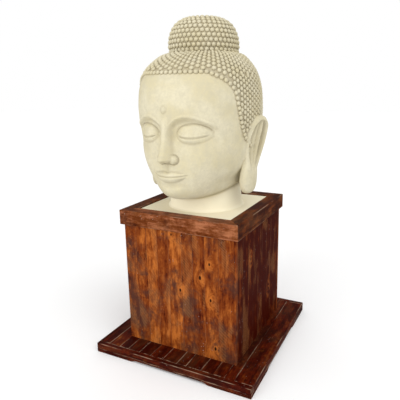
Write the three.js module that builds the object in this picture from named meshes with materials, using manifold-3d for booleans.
// A carved stone Buddha head, cast in one piece with its neck and square slab, let into the top of
// a hollow board-built plinth that stands on a wide, low base of deck boards.
// Millimetres, +Z up. The origin is the centre of the plinth's footprint on the floor.
// The face looks along -Y, and +X is on the head's left, to the right of a viewer in front.
import * as THREE from 'three';
import Module from 'manifold-3d';
import { mergeVertices } from 'three/addons/utils/BufferGeometryUtils.js';

const wasm = await Module();
wasm.setup();

// ---- Driving dimensions ----
const GAP = 0.3;                 // clearance between touching pieces

const BASE_SIDE = 1021;          // the wide base, square
const BASE_TOP = 58.8;           // its top face above the floor
const DECK_THICK = 35;           // deck boards and the edge strips in front and behind
const STRIP_WIDE = 28;
const SKIRT_THICK = 25;          // low frame under the deck, standing on its four corners
const TOE_HIGH = 12;             // height of the cut-out between two feet
const FOOT_LONG = 250;
const TOE_SLOPE = 36;

const BOX_SIDE = 724;            // the hollow box of upright boards
const BOX_WALL = 20;

const TOP_SIDE = 760;            // the mitred top frame
const TOP_HIGH = 891.6;
const TOP_BOARD_WIDE = 78;
const TOP_BOARD_THICK = 20;
const APRON_HIGH = 88;

const SLAB_SIDE = 594;           // the stone slab in the frame's opening
const SLAB_TOP = 885;
const SLAB_THICK = 70;
const PANEL_THICK = 20;          // board under the slab
const PANEL_SIDE = BOX_SIDE - 2 * BOX_WALL - 2 * GAP;

// Joints between the upright boards, as distances from the middle of each side.
const BOX_JOINTS = {
  front: [-285, -213, -140, -62, 24, 94, 170, 256],
  right: [-268, -190, -112, -33, 42, 118, 196, 270],
  back: [-272, -182, -90, 0, 90, 184, 270],
  left: [-270, -180, -92, 0, 88, 180, 268],
};
const DECK_JOINTS = [-435, -357, -296, -214, -136, -49, 44, 103, 198, 273, 340, 401];

// Head rings from the crown down, heights above the slab. Each ring is an oval made of a front and
// a back half: height at the front, side and back, then the reach to the front, side and back, and
// how square the front and the back half are (2 is an ellipse).
const HEAD_RINGS = [
  { height: [1089, 1089, 1089], reach: [0, 0, 0], square: [2, 2] },              // crown
  { height: [1081, 1081, 1081], reach: [96, 96, 96], square: [2, 2] },
  { height: [1048, 1048, 1048], reach: [158, 158, 158], square: [2, 2] },
  { height: [992, 992, 992], reach: [189, 189, 189], square: [2, 2] },
  { height: [937, 937, 937], reach: [197, 197, 197], square: [2, 2] },           // top knot, widest
  { height: [893, 893, 893], reach: [196, 196, 196], square: [2, 2] },           // its foot
  { height: [861, 869, 868], reach: [272, 240, 243], square: [2.15, 2] },
  { height: [795, 800, 800], reach: [374, 295, 308], square: [2.2, 2] },
  { height: [715, 715, 715], reach: [432, 322, 343], square: [2.2, 2.05] },
  { height: [620, 620, 620], reach: [452, 330, 358], square: [2.2, 2.05] },      // temples
  { height: [530, 530, 530], reach: [448, 329, 360], square: [2.2, 2.05] },      // brows
  { height: [440, 440, 440], reach: [434, 322, 352], square: [2.2, 2.05] },      // eyes
  { height: [345, 345, 345], reach: [426, 312, 332], square: [2.15, 2] },        // cheeks
  { height: [250, 262, 262], reach: [416, 288, 296], square: [2.05, 2] },        // mouth
  { height: [165, 210, 200], reach: [398, 252, 262], square: [1.95, 2] },        // chin
  { height: [108, 164, 144], reach: [346, 238, 246], square: [1.95, 2] },        // edge of the jaw
  { height: [93, 148, 124], reach: [284, 218, 228], square: [2, 2] },
  { height: [76, 120, 96], reach: [236, 212, 221], square: [2, 2] },             // throat
  { height: [35, 40, 35], reach: [227, 220, 225], square: [2, 2] },              // neck
  { height: [9, 9, 9], reach: [229, 226, 229], square: [2, 2] },
  { height: [0, 0, 0], reach: [238, 236, 238], square: [2, 2] },                 // flare on the slab
  { height: [-14, -14, -14], reach: [238, 236, 238], square: [2, 2] },           // root in the slab
];
const KNOT_FOOT_RING = 5;
const NAPE_RING = 14;            // the hair ends here at the back

// Hair: rows of rounded curls round the upright axis, and the hairline beside the face.
const CURL_PITCH = 36;
const CURL_HIGH = 12;
const COVERED_CURL_HIGH = 1;     // under the front of an ear
const HAIRLINE_HEIGHT = 765;     // top of the forehead
const HAIRLINE = [               // [height, angle from the front in degrees]
  [765, 31], [734, 42], [701, 49], [663, 52.5], [609, 54.5], [547, 57], [479, 61], [424, 66.5],
  [392, 74], [340, 86], [262, 97], [210, 104],
];

// Face: heights above the slab from equal thirds (hairline, brow, nose base, chin), and widths from
// an eye's length, a fifth of the head's width.
const CHIN_HEIGHT = 94;
const THIRD = (HAIRLINE_HEIGHT - CHIN_HEIGHT) / 3;
const NOSE_BASE = CHIN_HEIGHT + THIRD;
const BROW_HEIGHT = NOSE_BASE + THIRD;
const EYE_HEIGHT = BROW_HEIGHT - THIRD / 3;
const MOUTH_HEIGHT = NOSE_BASE - THIRD / 3;
const EYE_LONG = 136;

// Rows of points down the face, and its columns in degrees from the middle. Each zone of the face
// lists the height where it ends below, its row heights, and its columns.
const FACE_ZONES = [
  { name: 'forehead', foot: BROW_HEIGHT + 34, rows: [70, 50], columns: [0, 2.6, 9, 17, 25, 34, 44] },
  {
    name: 'eyes',
    foot: EYE_HEIGHT - 42,
    rows: [28, 10, -8, -26, -44, -54, -62, -70, -78, -86, -94, -104],
    columns: [0, 2.6, 5.6, 8.4, 10.4, 12.4, 14.4, 16.4, 18.4, 20.4, 22.4, 24.4, 26.4, 29, 33, 41, 50],
  },
  {
    name: 'nose',
    foot: MOUTH_HEIGHT + 40,
    rows: [-150, -176, -190, -202, -212, -220, -228],
    columns: [0, 2.2, 4.2, 6.2, 8.4, 10.6, 15, 22, 30, 40, 51],
  },
  {
    name: 'mouth',
    foot: MOUTH_HEIGHT - 44,
    rows: [-262, -272, -282, -292, -300, -308, -318, -330],
    columns: [0, 1.6, 3.4, 5.4, 7.4, 9.4, 11.4, 13.6, 17, 22, 30, 40, 51],
  },
  { name: 'chin', foot: -Infinity, rows: [-348, -366, -388], columns: [0, 4, 8, 12, 17, 24, 33, 42, 53] },
];
const FACE_ROWS = FACE_ZONES.flatMap((zone) => zone.rows.map((below) => BROW_HEIGHT + below));

// Ears: sections up the ear, as [height, front edge y, back edge y, outer x in front, outer x
// behind, thickness, depth of the hollow].
const EAR_SECTIONS = [
  [103, -66, -40, 312, 312, 18, 0],
  [108, -92, -8, 322, 324, 40, 0],
  [122, -110, 20, 328, 330, 56, 0],
  [150, -124, 38, 330, 334, 66, 0],
  [185, -128, 46, 330, 336, 68, 0],
  [245, -114, 40, 328, 338, 60, 4],
  [290, -96, 44, 325, 350, 56, 16],
  [345, -98, 52, 324, 366, 56, 24],
  [390, -104, 57, 326, 379, 58, 30],
  [440, -100, 63, 330, 390, 62, 32],
  [485, -84, 66, 335, 397, 62, 30],
  [522, -52, 52, 343, 388, 50, 4],
  [537, -38, 38, 345, 380, 40, 0],
  [547, -10, 14, 347, 364, 20, 0],
];
const EAR_SIDES = 16;

// ---- Small helpers ----
const clamp01 = (t) => Math.min(1, Math.max(0, t));
const smooth = (from, to, t) => {
  const k = clamp01((t - from) / (to - from));
  return k * k * (3 - 2 * k);
};
const bell = (t, width) => Math.exp(-((t / width) ** 2));
const dome = (a, b) => Math.max(0, 1 - a * a - b * b);
const radians = (degrees) => degrees * Math.PI / 180;

// Linear look-up in rows of [key, value], keys falling.
function lookUp(rows, key) {
  if (key >= rows[0][0]) return rows[0][1];
  const i = rows.findIndex(([height]) => height <= key);
  if (i < 0) return rows[rows.length - 1][1];
  const [[h0, v0], [h1, v1]] = [rows[i - 1], rows[i]];
  return v0 + (v1 - v0) * (h0 - key) / (h0 - h1);
}

// Catmull-Rom blend of four neighbouring values.
function blend(a, b, c, d, t) {
  return 0.5 * (2 * b + (c - a) * t + (2 * a - 5 * b + 4 * c - d) * t * t + (3 * b - a - 3 * c + d) * t ** 3);
}

// The ring at place u, counted down from the crown, as one smooth blend of the named rings.
function ringAt(u) {
  const last = HEAD_RINGS.length - 1;
  const i = Math.min(Math.floor(u), last - 1);
  const four = [i - 1, i, i + 1, i + 2].map((k) => HEAD_RINGS[Math.min(Math.max(k, 0), last)]);
  const mix = (key, n) => blend(...four.map((ring) => ring[key][n]), u - i);
  return {
    height: [0, 1, 2].map((n) => mix('height', n)),
    reach: [0, 1, 2].map((n) => Math.max(mix('reach', n), 1e-6)),
    square: [0, 1].map((n) => mix('square', n)),
  };
}

// Point of the bare head at ring place u and angle phi from the front towards +X.
function bareHead(u, phi) {
  const ring = ringAt(u);
  const s = Math.sin(phi);
  const c = Math.cos(phi);
  const half = c >= 0 ? 0 : 1;
  const power = ring.square[half];
  const depth = ring.reach[half * 2];
  const r = (Math.abs(s / ring.reach[1]) ** power + Math.abs(c / depth) ** power) ** (-1 / power);
  const height = ring.height[half * 2] * c * c + ring.height[1] * s * s;
  return new THREE.Vector3(r * s, -r * c, SLAB_TOP + height);
}

// ---- The face, as a forward offset at (x, height above the slab) ----
function browAndSockets(side, h) {
  const along = clamp01((side - 18) / 225);
  const browLine = BROW_HEIGHT - 36 + 52 * Math.sin(Math.PI * along ** 0.8);
  const below = browLine - h;
  const across = smooth(10, 50, side) * smooth(262, 215, side);
  const ridge = 7 * bell(below, 10) * across;
  const socket = -20 * smooth(0, 30, below) * smooth(130, 62, below) * across;
  return ridge + socket;
}

function eyes(side, h) {
  const q = (side - EYE_LONG) / (EYE_LONG / 2);
  const lidEdge = EYE_HEIGHT - 6 - 9 * (1 - q * q);
  const open = 9 * Math.max(0, 1 - q * q);
  const ball = 25 * dome(q / 1.18, (h - EYE_HEIGHT - 2) / 50) ** 0.7;
  const slit = -8 * bell(h - lidEdge + open / 2, 2 + open / 2) * smooth(1.05, 0.8, Math.abs(q));
  const rim = 4 * bell(h - lidEdge - 5, 5) * smooth(1.2, 0.9, Math.abs(q));
  return ball + slit + rim;
}

function nose(side, h) {
  const tip = NOSE_BASE + 24;
  const root = BROW_HEIGHT - 34;
  const down = clamp01((root - h) / (root - tip));
  const rise = 20 + 62 * down ** 1.25;
  const bridge = rise * smooth(root + 55, root - 5, h) * smooth(NOSE_BASE - 9, tip - 2, h);
  const halfWide = 21 + 19 * down ** 2;
  const wing = 34 * dome((side - 40) / 29, (h - NOSE_BASE - 19) / 27) ** 0.6;
  return Math.max(bridge * Math.exp(-((side / halfWide) ** 3)), wing);
}

function lips(side, h) {
  const q = clamp01(side / 98);
  const line = MOUTH_HEIGHT + 7 * q * q;
  const upper = 27 * (1 - q * q) ** 0.7 - 6 * bell(side, 12);
  const lower = 33 * (1 - q * q) ** 0.8;
  const thick = h > line ? upper : lower;
  const from = Math.abs(h - line) / Math.max(thick, 1);
  const full = 21 * Math.max(0, 1 - from ** 2.2) ** 0.6 * (1 - q ** 3);
  const seam = -9 * bell(h - line, 4) * smooth(1.1, 0.9, side / 98);
  return full + seam;
}

function muzzleAndChin(side, h) {
  const muzzle = 14 * bell(side, 120) * bell(h - MOUTH_HEIGHT, 75);
  const groove = -6 * bell(side, 10) * smooth(MOUTH_HEIGHT + 22, MOUTH_HEIGHT + 34, h) * smooth(NOSE_BASE, NOSE_BASE - 10, h);
  const fold = -9 * bell(side, 70) * bell(h - MOUTH_HEIGHT + 50, 15);
  const chin = 24 * bell(side, 78) * bell(h - CHIN_HEIGHT - 46, 42);
  const cheek = 13 * bell(side - 180, 78) * bell(h - NOSE_BASE - 6, 85);
  return muzzle + groove + fold + chin + cheek;
}

function browMark(side, h) {
  return 10 * dome(side / 14, (h - BROW_HEIGHT - 50) / 18) ** 0.6;
}

function faceRelief(x, h) {
  const side = Math.abs(x);
  return browAndSockets(side, h) + eyes(side, h) + nose(side, h) + lips(side, h)
    + muzzleAndChin(side, h) + browMark(side, h);
}

// Point of the carved head. Lift moves it out of the surface along its normal.
function carvedHead(u, phi, lift = 0) {
  const p = bareHead(u, phi);
  if (lift === 0) {
    if (Math.cos(phi) > 0) p.y -= faceRelief(p.x, p.z - SLAB_TOP) * smooth(0.45, 0.7, Math.cos(phi));
    return p;
  }
  const step = 0.02;
  const alongRing = bareHead(u, phi + step).sub(bareHead(u, phi - step));
  const downHead = bareHead(u + step, phi).sub(bareHead(Math.max(u - step, 0), phi));
  return p.addScaledVector(downHead.cross(alongRing).normalize(), lift);
}

// ---- Closed triangle skins ----
class Skin {
  constructor() {
    this.points = [];
    this.faces = [];
  }

  add(point) {
    this.points.push(point.x, point.y, point.z);
    return this.points.length / 3 - 1;
  }

  // Joins an upper and a lower line of points, each a list of { id, t } with t rising.
  strip(upper, lower) {
    let i = 0;
    let j = 0;
    while (i < upper.length - 1 || j < lower.length - 1) {
      const stepUpper = j === lower.length - 1
        || (i < upper.length - 1 && upper[i + 1].t + upper[i].t <= lower[j + 1].t + lower[j].t);
      if (stepUpper) {
        this.face(upper[i].id, lower[j].id, upper[i + 1].id);
        i += 1;
      } else {
        this.face(upper[i].id, lower[j].id, lower[j + 1].id);
        j += 1;
      }
    }
  }

  // A fan from a peak to the closed line of ids round it.
  fan(peak, rim) {
    rim.forEach((id, k) => this.face(peak, id, rim[(k + 1) % rim.length]));
  }

  face(a, b, c) {
    if (a !== b && b !== c && c !== a) this.faces.push(a, b, c);
  }

  solid() {
    const geometry = new THREE.BufferGeometry();
    geometry.setAttribute('position', new THREE.Float32BufferAttribute(this.points, 3));
    geometry.setIndex(this.faces);
    return toSolid(geometry);
  }
}

function toSolid(geometry) {
  const bare = geometry.clone();
  bare.deleteAttribute('normal');
  bare.deleteAttribute('uv');
  const merged = mergeVertices(bare, 1e-4);
  return new wasm.Manifold(new wasm.Mesh({
    numProp: 3,
    vertProperties: new Float32Array(merged.attributes.position.array),
    triVerts: new Uint32Array(merged.index.array),
  }));
}

function toGeometry(solid) {
  const mesh = solid.getMesh();
  const geometry = new THREE.BufferGeometry();
  geometry.setAttribute('position', new THREE.BufferAttribute(new Float32Array(mesh.vertProperties), 3));
  geometry.setIndex(new THREE.BufferAttribute(new Uint32Array(mesh.triVerts), 1));
  geometry.computeVertexNormals();
  return geometry;
}

// ---- Hair rows ----
const SAMPLES = 48;

// Mean distance down the head from the ring place u0 to u1, over a span of angles in degrees.
function meanDrop(u0, u1, [from, to]) {
  let sum = 0;
  for (let k = 0; k < SAMPLES; k += 1) {
    const phi = radians(from + (to - from) * (k + 0.5) / SAMPLES);
    sum += bareHead(u0, phi).distanceTo(bareHead(u1, phi));
  }
  return sum / SAMPLES;
}

// Length round the ring at u from angle phi0 to phi1.
function ringLength(u, phi0, phi1) {
  let sum = 0;
  for (let k = 0; k < SAMPLES; k += 1) {
    const a = phi0 + (phi1 - phi0) * k / SAMPLES;
    const b = phi0 + (phi1 - phi0) * (k + 1) / SAMPLES;
    sum += bareHead(u, a).distanceTo(bareHead(u, b));
  }
  return sum;
}

// Ring places from u0 to u1 at even distances of about one curl, measured over a span of angles.
function evenRows(u0, u1, span) {
  const steps = 200;
  const travelled = [0];
  for (let k = 0; k < steps; k += 1) {
    const a = u0 + (u1 - u0) * k / steps;
    travelled.push(travelled[k] + meanDrop(a, a + (u1 - u0) / steps, span));
  }
  const rows = Math.round(travelled[steps] / CURL_PITCH);
  return Array.from({ length: rows }, (_, n) => {
    const wanted = travelled[steps] * (n + 1) / rows;
    const k = travelled.findIndex((d) => d >= wanted - 1e-9);
    const part = (wanted - travelled[k - 1]) / (travelled[k] - travelled[k - 1]);
    return u0 + (u1 - u0) * (k - 1 + part) / steps;
  });
}

// The ring place whose front point is at the given height.
function ringPlaceAt(height) {
  let low = 0;
  let high = HEAD_RINGS.length - 1;
  for (let k = 0; k < 40; k += 1) {
    const middle = (low + high) / 2;
    if (ringAt(middle).height[0] > height) low = middle;
    else high = middle;
  }
  return (low + high) / 2;
}

const hairEdge = (u) => radians(lookUp(HAIRLINE, ringAt(u).height[1]));
const evenCount = (length) => Math.max(6, 2 * Math.round(length / CURL_PITCH / 2));

// Places of the lines between hair rows: over the knot, down to the hairline, and on to the nape.
const hairlineRing = ringPlaceAt(HAIRLINE_HEIGHT);
const crownLines = evenRows(0.35, KNOT_FOOT_RING, [0, 360]);
const domeLines = evenRows(KNOT_FOOT_RING, hairlineRing, [-60, 60]);
const backLines = evenRows(hairlineRing, NAPE_RING, [60, 300]);

function closedLine(skin, u, count) {
  const line = { u, count, points: [] };
  for (let k = 0; k < count; k += 1) {
    const t = 2 * Math.PI * k / count;
    line.points.push({ id: skin.add(carvedHead(u, t)), t });
  }
  return line;
}

function openLine(skin, u, count) {
  const edge = hairEdge(u);
  const line = { u, count, points: [] };
  for (let k = 0; k <= count; k += 1) {
    const t = edge + 2 * (Math.PI - edge) * k / count;
    line.points.push({ id: skin.add(carvedHead(u, t)), t });
  }
  return line;
}

// Where curl number i of n begins along a line of m steps, the same on both halves of the head.
function share(i, n, m) {
  return i <= n / 2 ? Math.round(i * m / n) : m - Math.round((n - i) * m / n);
}

// Height of the curl at a place: nearly none where the front half of an ear covers it.
function curlHeight(u, phi) {
  const place = bareHead(u, phi);
  const h = place.z - SLAB_TOP;
  const above = EAR_SECTIONS.findIndex((section) => section[0] > h);
  if (above < 1) return CURL_HIGH;
  const [lower, upper] = [EAR_SECTIONS[above - 1], EAR_SECTIONS[above]];
  const part = (h - lower[0]) / (upper[0] - lower[0]);
  const [front, back] = [1, 2].map((n) => lower[n] + (upper[n] - lower[n]) * part);
  const behind = (place.y - front) / (back - front);
  return behind > 0 && behind < 0.6 ? COVERED_CURL_HIGH : CURL_HIGH;
}

// One row of curls between two lines. Each curl is a peak over its own patch of the lines.
function curlRow(skin, upper, lower, count, { closed, rightSide = [], leftSide = [] }) {
  const u = (upper.u + lower.u) / 2;
  const at = (points, k) => points[closed ? k % points.length : k];
  const steps = (points) => (closed ? points.length : points.length - 1);
  for (let i = 0; i < count; i += 1) {
    const top = [share(i, count, steps(upper.points)), share(i + 1, count, steps(upper.points))];
    const foot = [share(i, count, steps(lower.points)), share(i + 1, count, steps(lower.points))];
    const rim = [];
    for (let k = top[1]; k >= top[0]; k -= 1) rim.push(at(upper.points, k).id);
    if (i === 0) rim.push(...rightSide);
    for (let k = foot[0]; k <= foot[1]; k += 1) rim.push(at(lower.points, k).id);
    if (i === count - 1) rim.push(...leftSide);
    const ends = closed
      ? [2 * Math.PI * i / count, 2 * Math.PI * (i + 1) / count]
      : [i, i + 1].map((k) => hairEdge(u) + 2 * (Math.PI - hairEdge(u)) * k / count);
    const middle = (ends[0] + ends[1]) / 2;
    skin.fan(skin.add(carvedHead(u, middle, curlHeight(u, middle))), rim);
  }
}

// One row of points across the face, from the hair's edge on one side to the other.
function faceLine(skin, u, ends) {
  const height = ringAt(u).height[0];
  const { columns } = FACE_ZONES.find((zone) => height > zone.foot);
  const edge = hairEdge(u);
  const inner = columns.map(radians).filter((t) => t < edge - radians(4));
  const angles = [...inner.slice(1).reverse().map((t) => -t), ...inner];
  if (inner[inner.length - 1] < radians(60) && edge > radians(75)) {
    angles.push(radians(60));
    angles.unshift(radians(-60));
  }
  const line = angles.map((t) => ({ id: skin.add(carvedHead(u, t)), t }));
  const left = ends ? ends[0] : skin.add(carvedHead(u, -edge));
  const right = ends ? ends[1] : skin.add(carvedHead(u, edge));
  return [{ id: left, t: -edge }, ...line, { id: right, t: edge }];
}

function fullRows(skin) {
  const crown = skin.add(carvedHead(0, 0).setZ(SLAB_TOP + HEAD_RINGS[0].height[0] + CURL_HIGH * 0.7));
  const lines = [0.35, ...crownLines, ...domeLines];
  const counts = lines.slice(1).map((u, k) => evenCount(ringLength((u + lines[k]) / 2, 0, 2 * Math.PI)));
  const lineCounts = lines.map((_, k) => Math.max(counts[Math.max(k - 1, 0)], counts[Math.min(k, counts.length - 1)]));
  lineCounts[0] = counts[0];
  const drawn = lines.map((u, k) => closedLine(skin, u, lineCounts[k]));
  skin.fan(crown, drawn[0].points.map((p) => p.id));
  counts.forEach((count, k) => curlRow(skin, drawn[k], drawn[k + 1], count, { closed: true }));
  return drawn[drawn.length - 1];
}

// The face with the hair beside and behind it, from the top of the forehead to the nape.
function openRows(skin, browLine) {
  const around = browLine.points.length;
  const cut = Math.round(HAIRLINE[0][1] / 360 * around);
  const topHair = { u: browLine.u, points: browLine.points.slice(cut, around - cut + 1) };
  const topFace = [
    ...browLine.points.slice(around - cut).map(({ id, t }) => ({ id, t: t - 2 * Math.PI })),
    ...browLine.points.slice(0, cut + 1),
  ];
  const counts = backLines.map((u, k) => {
    const middle = (u + (k ? backLines[k - 1] : hairlineRing)) / 2;
    const edge = hairEdge(middle);
    return k === 0 ? topHair.points.length - 1 : evenCount(ringLength(middle, edge, 2 * Math.PI - edge));
  });
  let upperHair = topHair;
  let upperFace = topFace;
  backLines.forEach((u, k) => {
    const lowerHair = openLine(skin, u, Math.max(counts[k], counts[k + 1] ?? 0));
    const between = FACE_ROWS.filter((h) => {
      const [top, foot] = [ringAt(upperHair.u).height[0], ringAt(u).height[0]];
      return h < top - 4.5 && h > foot + 4.5;
    });
    const rightSide = [];
    const leftSide = [];
    between.map(ringPlaceAt).concat(u).forEach((place) => {
      const ends = place === u ? [lowerHair.points[lowerHair.count].id, lowerHair.points[0].id] : null;
      const line = faceLine(skin, place, ends);
      skin.strip(upperFace, line);
      if (!ends) {
        leftSide.unshift(line[0].id);
        rightSide.push(line[line.length - 1].id);
      }
      upperFace = line;
    });
    curlRow(skin, upperHair, lowerHair, counts[k], { closed: false, rightSide, leftSide });
    upperHair = lowerHair;
  });
  return [...upperFace, ...upperHair.points.slice(1)];
}

// Neck and flare below the jaw, closed by a flat end inside the slab.
function neckRows(skin, jawLine) {
  const sides = 44;
  const start = jawLine[0].t;
  let upper = jawLine;
  const last = HEAD_RINGS.length - 1;
  [14.5, 15, 15.5, 16, 16.5, 17, 18, 19, 19.5, 20, last].forEach((u) => {
    const lower = [];
    for (let k = 0; k < sides; k += 1) {
      const t = start + 2 * Math.PI * k / sides;
      lower.push({ id: skin.add(carvedHead(u, t)), t });
    }
    lower.push({ id: lower[0].id, t: start + 2 * Math.PI });
    skin.strip(upper, lower);
    upper = lower;
  });
  const foot = skin.add(new THREE.Vector3(0, 0, SLAB_TOP + HEAD_RINGS[last].height[0]));
  skin.fan(foot, upper.slice(0, -1).map((p) => p.id).reverse());
}

function headSkin() {
  const skin = new Skin();
  neckRows(skin, openRows(skin, fullRows(skin)));
  return skin.solid();
}

// ---- Ears ----
// A section of an ear is a flat oval from its front to its back edge, hollowed on the outside.
function earPoint([height, front, back, outFront, outBack, thick, hollow], angle, side) {
  const s = (1 - Math.cos(angle)) / 2;
  const round = Math.sign(Math.sin(angle)) * Math.abs(Math.sin(angle)) ** 0.75;
  const middle = outFront + (outBack - outFront) * s - thick / 2;
  const dent = angle < Math.PI ? hollow * smooth(0.12, 0.36, s) * smooth(0.92, 0.7, s) : 0;
  const x = middle + round * thick / 2 - dent;
  return new THREE.Vector3(side * x, front + (back - front) * s, SLAB_TOP + height);
}

function earSkin(side) {
  const skin = new Skin();
  const rings = EAR_SECTIONS.map((section) => Array.from({ length: EAR_SIDES }, (_, k) => (
    skin.add(earPoint(section, 2 * Math.PI * (k + 0.5) / EAR_SIDES, side)))));
  const turn = (ids) => (side > 0 ? ids : [...ids].reverse());
  for (let n = 0; n < rings.length - 1; n += 1) {
    for (let k = 0; k < EAR_SIDES; k += 1) {
      const next = (k + 1) % EAR_SIDES;
      const [a, b, c, d] = [rings[n][k], rings[n][next], rings[n + 1][next], rings[n + 1][k]];
      skin.face(...turn([a, b, c]));
      skin.face(...turn([a, c, d]));
    }
  }
  const ends = [rings[0], rings[rings.length - 1]].map((ring) => {
    const sum = new THREE.Vector3();
    ring.forEach((id) => sum.add(new THREE.Vector3(...skin.points.slice(3 * id, 3 * id + 3))));
    return skin.add(sum.divideScalar(ring.length));
  });
  skin.fan(ends[0], turn([...rings[0]].reverse()));
  skin.fan(ends[1], turn(rings[rings.length - 1]));
  return skin.solid();
}

function headGeometry() {
  const slab = new THREE.BoxGeometry(SLAB_SIDE, SLAB_SIDE, SLAB_THICK);
  slab.translate(0, 0, SLAB_TOP - SLAB_THICK / 2);
  const whole = headSkin().add(toSolid(slab)).add(earSkin(1)).add(earSkin(-1));
  return toGeometry(whole);
}

// ---- Plinth pieces ----
function boxBetween([x0, x1], [y0, y1], [z0, z1]) {
  const geometry = new THREE.BoxGeometry(x1 - x0, y1 - y0, z1 - z0);
  geometry.translate((x0 + x1) / 2, (y0 + y1) / 2, (z0 + z1) / 2);
  return geometry;
}

// Spans between neighbouring joints, each drawn back by half the gap from its own joints.
function boardSpans(from, to, joints) {
  const edges = [from, ...joints, to];
  return edges.slice(1).map((edge, k) => [
    edges[k] + (k ? GAP / 2 : 0),
    edge - (k < joints.length ? GAP / 2 : 0),
  ]);
}

// A flat outline in (along, up), carried from y = inner to outer with 45 degree mitres at both ends,
// on the front side. The outline is a list of [along, up] pairs going anticlockwise.
function mitred(section) {
  const skin = new Skin();
  const rings = [-1, 1].map((end) => section.map(([out, up]) => (
    skin.add(new THREE.Vector3(end * (out - GAP / 2), -out, up)))));
  const shape = THREE.ShapeUtils.triangulateShape(section.map(([out, up]) => new THREE.Vector2(out, up)), []);
  section.forEach((_, k) => {
    const next = (k + 1) % section.length;
    skin.face(rings[0][k], rings[1][k], rings[1][next]);
    skin.face(rings[0][k], rings[1][next], rings[0][next]);
  });
  shape.forEach(([a, b, c]) => {
    skin.face(rings[0][a], rings[0][b], rings[0][c]);
    skin.face(rings[1][a], rings[1][c], rings[1][b]);
  });
  return toGeometry(skin.solid());
}

function topRail() {
  const outer = TOP_SIDE / 2;
  const inner = outer - TOP_BOARD_WIDE;
  const apronBack = BOX_SIDE / 2 + GAP;
  const under = TOP_HIGH - TOP_BOARD_THICK;
  return mitred([
    [inner, under], [apronBack, under], [apronBack, TOP_HIGH - APRON_HIGH],
    [outer, TOP_HIGH - APRON_HIGH], [outer, TOP_HIGH], [inner, TOP_HIGH],
  ]);
}

// A skirt of the base: a mitred board cut away below between its two feet.
function skirt() {
  const half = BASE_SIDE / 2;
  const top = BASE_TOP - DECK_THICK - GAP;
  const board = mitred([[half - SKIRT_THICK, 0], [half, 0], [half, top], [half - SKIRT_THICK, top]]);
  const outline = new THREE.Shape();
  const foot = half - FOOT_LONG;
  outline.moveTo(-foot, -1);
  outline.lineTo(foot, -1);
  outline.lineTo(foot, 0);
  outline.bezierCurveTo(foot - 16, 1, foot - 20, TOE_HIGH - 1, foot - TOE_SLOPE, TOE_HIGH);
  outline.lineTo(TOE_SLOPE - foot, TOE_HIGH);
  outline.bezierCurveTo(20 - foot, TOE_HIGH - 1, 16 - foot, 1, -foot, 0);
  outline.closePath();
  const cut = new THREE.ExtrudeGeometry(outline, { depth: 3 * SKIRT_THICK, bevelEnabled: false, curveSegments: 6 });
  cut.rotateX(Math.PI / 2);
  cut.translate(0, -half + 2 * SKIRT_THICK, 0);
  return toGeometry(toSolid(board).subtract(toSolid(cut)));
}

// ---- Materials ----
const stone = new THREE.MeshStandardMaterial({ color: 0xe4d9b8, roughness: 0.75, metalness: 0 });
const boxWood = new THREE.MeshStandardMaterial({ color: 0x8a4a1c, roughness: 0.4, metalness: 0 });
const railWood = new THREE.MeshStandardMaterial({ color: 0x5a2716, roughness: 0.35, metalness: 0 });
const deckWood = new THREE.MeshStandardMaterial({ color: 0x4a1810, roughness: 0.3, metalness: 0 });

// ---- Assembly ----
const group = new THREE.Group();

function addPiece(parent, name, geometry, material) {
  const mesh = new THREE.Mesh(geometry, material);
  mesh.name = name;
  parent.add(mesh);
}

// One group per side of the plinth, turned a quarter at a time, each with its front along -Y.
const SIDES = ['front', 'right', 'back', 'left'];

SIDES.forEach((side, quarter) => {
  const turned = new THREE.Group();
  turned.rotation.z = quarter * Math.PI / 2;
  group.add(turned);
  const reach = BOX_SIDE / 2 - (quarter % 2 ? BOX_WALL + GAP : 0);
  boardSpans(-reach, reach, BOX_JOINTS[side]).forEach((span, k) => {
    const geometry = boxBetween(
      span,
      [-BOX_SIDE / 2, -BOX_SIDE / 2 + BOX_WALL],
      [BASE_TOP + GAP, TOP_HIGH - TOP_BOARD_THICK - GAP],
    );
    addPiece(turned, `box_board_${side}_${k + 1}`, geometry, boxWood);
  });
  addPiece(turned, `top_rail_${side}`, topRail(), railWood);
  addPiece(turned, `base_skirt_${side}`, skirt(), deckWood);
});

const deckHalf = BASE_SIDE / 2;
const deckLevels = [BASE_TOP - DECK_THICK, BASE_TOP];
boardSpans(-deckHalf, deckHalf, DECK_JOINTS).forEach((span, k) => {
  const reach = deckHalf - STRIP_WIDE - GAP;
  addPiece(group, `deck_board_${k + 1}`, boxBetween(span, [-reach, reach], deckLevels), deckWood);
});
[['front', -1], ['back', 1]].forEach(([side, way]) => {
  const across = [way * deckHalf, way * (deckHalf - STRIP_WIDE)].sort((a, b) => a - b);
  addPiece(group, `deck_strip_${side}`, boxBetween([-deckHalf, deckHalf], across, deckLevels), deckWood);
});

const panelTop = SLAB_TOP - SLAB_THICK - GAP;
addPiece(group, 'slab_panel', boxBetween(
  [-PANEL_SIDE / 2, PANEL_SIDE / 2],
  [-PANEL_SIDE / 2, PANEL_SIDE / 2],
  [panelTop - PANEL_THICK, panelTop],
), boxWood);

addPiece(group, 'buddha_head', headGeometry(), stone);

export default group;
